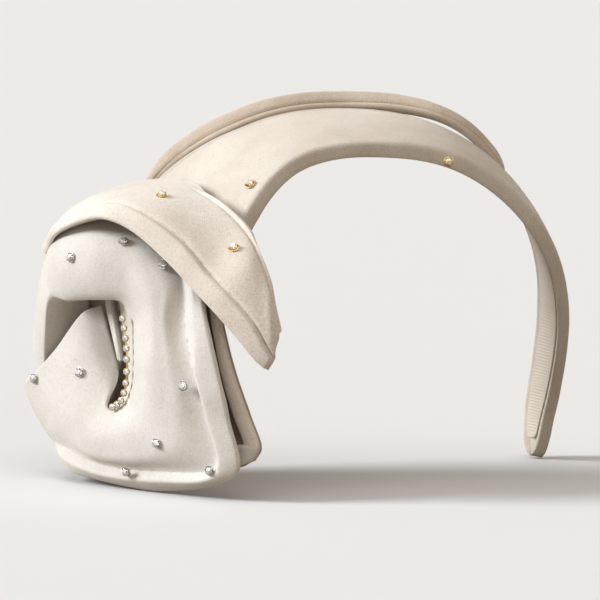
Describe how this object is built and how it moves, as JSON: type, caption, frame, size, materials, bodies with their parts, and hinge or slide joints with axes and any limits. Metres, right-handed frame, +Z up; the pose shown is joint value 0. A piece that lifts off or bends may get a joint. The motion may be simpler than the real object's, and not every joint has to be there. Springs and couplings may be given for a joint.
{
  "type": "knotted headband",
  "caption": "Wired felt bandeau worn over the crown, with a rear strap, a side comb and a folded felt knot with crystals over the right temple.",
  "frame": {"origin": "centre of the bounding box in plan, on the level of the knot's foot and the left arm's tip, which the headband rests on", "axes": "+X towards the wearer's left, -Y the way the wearer faces, +Z up through the crown; the knot is on the -X side"},
  "size_m": [0.1884, 0.1216, 0.1304],
  "materials": {
    "felt": "matte wool felt",
    "ribbon_lining": "ribbed ribbon",
    "buckram": "stiffened open weave",
    "thread": "matte",
    "millinery_wire": "satin",
    "brass": "polished",
    "clear_crystal": "faceted",
    "champagne_crystal": "faceted",
    "comb_plastic": "gloss"
  },
  "bodies": {
    "crown_and_knot": {"band_buckram_right": "buckram", "band_felt_right": "felt", "band_lining_right": "ribbon_lining", "chain_stone_01": "clear_crystal", "chain_stone_02": "clear_crystal", "chain_stone_03": "clear_crystal", "chain_stone_04": "clear_crystal", "chain_stone_05": "clear_crystal", "chain_stone_06": "clear_crystal", "chain_stone_07": "clear_crystal", "chain_stone_08": "clear_crystal", "chain_stone_09": "clear_crystal", "chain_stone_10": "clear_crystal", "chain_stone_11": "clear_crystal", "comb_loop_left": "thread", "comb_loop_right": "thread", "cowl_wire": "millinery_wire", "crystal_01": "champagne_crystal", "crystal_02": "champagne_crystal", "crystal_03": "clear_crystal", "crystal_04": "clear_crystal", "crystal_05": "clear_crystal", "crystal_06": "clear_crystal", "crystal_07": "clear_crystal", "crystal_08": "clear_crystal", "crystal_09": "clear_crystal", "crystal_10": "clear_crystal", "crystal_11": "clear_crystal", "crystal_12": "champagne_crystal", "crystal_13": "champagne_crystal", "cup_chain": "brass", "flap_wire": "millinery_wire", "front_wire_right": "millinery_wire", "knot_base": "buckram", "knot_cowl": "felt", "knot_flap": "felt", "knot_pleat": "felt", "knot_tail": "felt", "rear_wire_right": "millinery_wire", "strap_felt_right": "felt", "strap_wire_right": "millinery_wire", "tail_wire": "millinery_wire"},
    "left_arm": {"band_buckram_left": "buckram", "band_felt_left": "felt", "band_lining_left": "ribbon_lining", "front_wire_left": "millinery_wire", "rear_wire_left": "millinery_wire", "strap_felt_left": "felt", "strap_wire_left": "millinery_wire"},
    "comb": {"comb": "comb_plastic"}
  },
  "joints": [
    {"name": "band_flex", "type": "hinge", "parent": "crown_and_knot", "child": "left_arm", "pos_m": [0.04961, -0.0103, 0.10885], "axis": [0, -1, 0], "range_deg": [-4, 8], "stiffness_Nm_per_rad": 0.6},
    {"name": "comb_tilt", "type": "hinge", "parent": "crown_and_knot", "child": "comb", "pos_m": [0.01022, -0.00422, 0.11139], "axis": [-1, 0, 0], "range_deg": [0, 45]}
  ]
}
